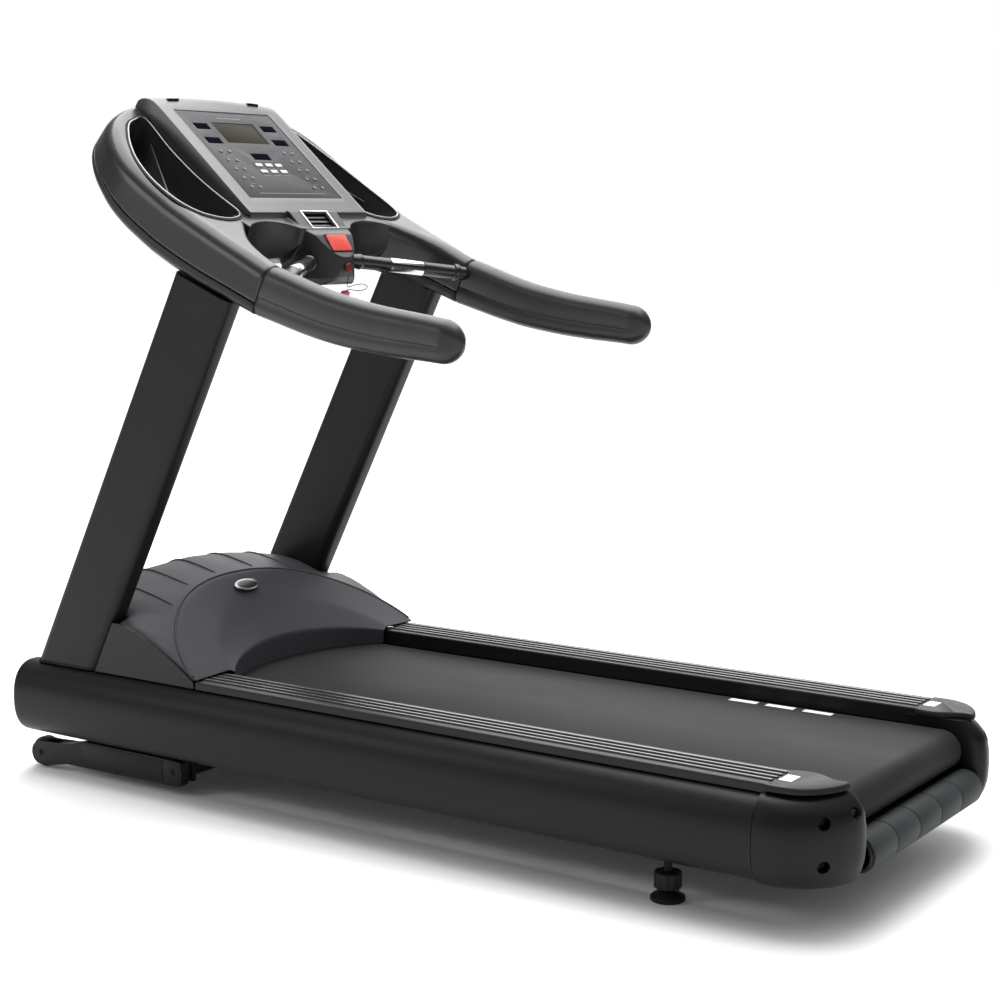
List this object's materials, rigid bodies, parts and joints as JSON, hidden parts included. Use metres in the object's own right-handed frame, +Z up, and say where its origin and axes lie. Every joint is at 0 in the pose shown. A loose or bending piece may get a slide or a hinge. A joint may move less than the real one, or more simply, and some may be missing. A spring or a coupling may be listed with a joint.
{
  "type": "treadmill",
  "caption": "Motorised treadmill with belt deck, leaning uprights, C-shaped console ring with forward grips, storage bins, vent pod and incline frame.",
  "frame": {"origin": "centre of the footprint box, on the floor", "axes": "+Y towards the console end, +X to the user's right when facing the console, +Z up"},
  "size_m": [0.91, 2.219, 1.639],
  "materials": {
    "powder_coat": "black powder coat, fine texture",
    "beam_paint": "charcoal powder-coated extrusion",
    "bare_steel": "turned steel",
    "zinc_steel": "zinc-plated",
    "rail_aluminium": "ribbed anodised extrusion",
    "belt_rubber": "fine woven running-belt surface",
    "drive_rubber": "smooth ribbed belt",
    "cushion_rubber": "moulded",
    "deck_wood": "waxed fibreboard",
    "cap_plastic": "satin moulded",
    "lid_plastic": "satin moulded, lighter",
    "sleeve_foam": "soft sleeve",
    "hood_plastic": "satin silver-grey moulded",
    "panel_plastic": "satin moulded",
    "badge_chrome": "bright blank badge",
    "shell_plastic": "satin metallic-grey moulded",
    "box_plastic": "semi-gloss metallic grey",
    "face_film": "graphic film",
    "window_film": "tinted window",
    "key_silver": "raised key",
    "dot_keys": "printed membrane keys",
    "bin_plastic": "textured moulded liner",
    "trim_chrome": "polished trim",
    "louver_plastic": "black moulded",
    "stop_red": "glossy red",
    "key_red": "glossy red",
    "cord_black": "braided cord",
    "clip_red": "moulded clip",
    "grip_rubber": "soft-touch moulding",
    "bar_plastic": "black moulded",
    "electrode_chrome": "polished plate",
    "wheel_rubber": "solid wheel",
    "motor_metal": "painted motor body",
    "controller_metal": "finned case",
    "inlet_plastic": "black moulded",
    "switch_red": "rocker",
    "foot_rubber": "levelling foot"
  },
  "bodies": {
    "frame": {"base_frame": "powder_coat", "side_beams": "beam_paint", "front_cover": "cap_plastic", "deck": "deck_wood", "deck_cushions": "cushion_rubber", "running_belt": "belt_rubber", "roller_axles": "zinc_steel", "drive_belt": "drive_rubber", "drive_motor": "motor_metal", "control_box": "controller_metal", "power_inlet": "inlet_plastic", "foot_rails": "rail_aluminium", "end_caps": "cap_plastic", "cap_lids": "lid_plastic", "cap_screws": "zinc_steel", "guard_tube": "powder_coat", "guard_sleeves": "sleeve_foam", "motor_hood": "hood_plastic", "hood_panels": "panel_plastic", "hood_badge": "badge_chrome", "uprights": "beam_paint", "console_lower": "shell_plastic", "console_upper": "shell_plastic", "console_box": "box_plastic", "face_panel": "face_film", "display_windows": "window_film", "keypad": "dot_keys", "bin_liners": "bin_plastic", "bin_rims": "trim_chrome", "pod": "shell_plastic", "vent_frame": "trim_chrome", "grips": "grip_rubber", "pulse_bars": "bar_plastic", "pulse_electrodes": "electrode_chrome", "lift_motor": "motor_metal"},
    "front_roller": {"front_roller": "bare_steel", "roller_pulley": "bare_steel"},
    "rear_roller": {"rear_roller": "bare_steel"},
    "motor_rotor": {"motor_rotor": "bare_steel"},
    "power_switch": {"power_switch": "switch_red"},
    "louver_1": {"louver_1": "louver_plastic"},
    "louver_2": {"louver_2": "louver_plastic"},
    "louver_3": {"louver_3": "louver_plastic"},
    "fan_wheel": {"fan_wheel": "louver_plastic"},
    "stop_button": {"stop_button": "stop_red"},
    "safety_key": {"safety_key": "key_red", "lanyard": "cord_black", "lanyard_clip": "clip_red"},
    "lift_frame": {"lift_frame": "powder_coat"},
    "wheel_left": {"wheel_left": "wheel_rubber"},
    "wheel_right": {"wheel_right": "wheel_rubber"},
    "lift_rod": {"lift_rod": "zinc_steel"},
    "foot_left": {"foot_left": "foot_rubber"},
    "foot_right": {"foot_right": "foot_rubber"},
    "key_1": {"key_1": "key_silver"},
    "key_2": {"key_2": "key_silver"},
    "key_3": {"key_3": "key_silver"},
    "key_4": {"key_4": "key_silver"},
    "key_5": {"key_5": "key_silver"},
    "key_6": {"key_6": "key_silver"}
  },
  "joints": [
    {"name": "front_roller_spin", "type": "hinge", "parent": "frame", "child": "front_roller", "pos_m": [0, 0.815, 0.217], "axis": [1, 0, 0], "continuous": true},
    {"name": "rear_roller_spin", "type": "hinge", "parent": "frame", "child": "rear_roller", "pos_m": [0, -1.015, 0.217], "axis": [1, 0, 0], "continuous": true},
    {"name": "motor_spin", "type": "hinge", "parent": "frame", "child": "motor_rotor", "pos_m": [0, 0.96, 0.296], "axis": [1, 0, 0], "continuous": true},
    {"name": "switch_rock", "type": "hinge", "parent": "frame", "child": "power_switch", "pos_m": [-0.185, 1.079, 0.1505], "axis": [1, 0, 0], "range_deg": [-8, 8]},
    {"name": "louver_1_tilt", "type": "hinge", "parent": "frame", "child": "louver_1", "pos_m": [0, 0.4721, 1.33647], "axis": [1, 0, 0], "range_deg": [-25, 30]},
    {"name": "louver_2_tilt", "type": "hinge", "parent": "frame", "child": "louver_2", "pos_m": [0, 0.48157, 1.3461], "axis": [1, 0, 0], "range_deg": [-25, 30]},
    {"name": "louver_3_tilt", "type": "hinge", "parent": "frame", "child": "louver_3", "pos_m": [0, 0.49103, 1.35572], "axis": [1, 0, 0], "range_deg": [-25, 30]},
    {"name": "fan_spin", "type": "hinge", "parent": "frame", "child": "fan_wheel", "pos_m": [0, 0.529, 1.275], "axis": [1, 0, 0], "continuous": true},
    {"name": "stop_press", "type": "slide", "parent": "frame", "child": "stop_button", "axis": [0, 0.8231, -0.5678], "range_m": [0, 0.005], "stiffness_N_per_m": 800, "springref_m": -0.002},
    {"name": "key_pull", "type": "slide", "parent": "frame", "child": "safety_key", "axis": [0, -1, 0], "range_m": [0, 0.03]},
    {"name": "key_1_press", "type": "slide", "parent": "frame", "child": "key_1", "axis": [0, 0.6626, -0.749], "range_m": [0, 0.001], "stiffness_N_per_m": 500, "springref_m": -0.0006},
    {"name": "key_2_press", "type": "slide", "parent": "frame", "child": "key_2", "axis": [0, 0.6626, -0.749], "range_m": [0, 0.001], "stiffness_N_per_m": 500, "springref_m": -0.0006},
    {"name": "key_3_press", "type": "slide", "parent": "frame", "child": "key_3", "axis": [0, 0.6626, -0.749], "range_m": [0, 0.001], "stiffness_N_per_m": 500, "springref_m": -0.0006},
    {"name": "key_4_press", "type": "slide", "parent": "frame", "child": "key_4", "axis": [0, 0.6626, -0.749], "range_m": [0, 0.001], "stiffness_N_per_m": 500, "springref_m": -0.0006},
    {"name": "key_5_press", "type": "slide", "parent": "frame", "child": "key_5", "axis": [0, 0.6626, -0.749], "range_m": [0, 0.001], "stiffness_N_per_m": 500, "springref_m": -0.0006},
    {"name": "key_6_press", "type": "slide", "parent": "frame", "child": "key_6", "axis": [0, 0.6626, -0.749], "range_m": [0, 0.001], "stiffness_N_per_m": 500, "springref_m": -0.0006},
    {"name": "lift_swing", "type": "hinge", "parent": "frame", "child": "lift_frame", "pos_m": [0, 0.625, 0.056], "axis": [1, 0, 0], "range_deg": [-12, 0]},
    {"name": "wheel_left_spin", "type": "hinge", "parent": "lift_frame", "child": "wheel_left", "pos_m": [-0.369, 1.073, 0.037], "axis": [1, 0, 0], "continuous": true},
    {"name": "wheel_right_spin", "type": "hinge", "parent": "lift_frame", "child": "wheel_right", "pos_m": [0.369, 1.073, 0.037], "axis": [1, 0, 0], "continuous": true},
    {"name": "rod_slide", "type": "slide", "parent": "frame", "child": "lift_rod", "axis": [0, 1, 0], "range_m": [0, 0.017]},
    {"name": "foot_left_screw", "type": "slide", "parent": "frame", "child": "foot_left", "axis": [0, 0, -1], "range_m": [0, 0.02]},
    {"name": "foot_right_screw", "type": "slide", "parent": "frame", "child": "foot_right", "axis": [0, 0, -1], "range_m": [0, 0.02]}
  ],
  "couplings": [
    {"joint": "rear_roller_spin", "follows": "front_roller_spin", "ratio": 1},
    {"joint": "motor_spin", "follows": "front_roller_spin", "ratio": 2.1429},
    {"joint": "louver_1_tilt", "follows": "louver_2_tilt", "ratio": 1},
    {"joint": "louver_3_tilt", "follows": "louver_2_tilt", "ratio": 1},
    {"joint": "rod_slide", "follows": "lift_swing", "m_per_rad": -0.078}
  ]
}
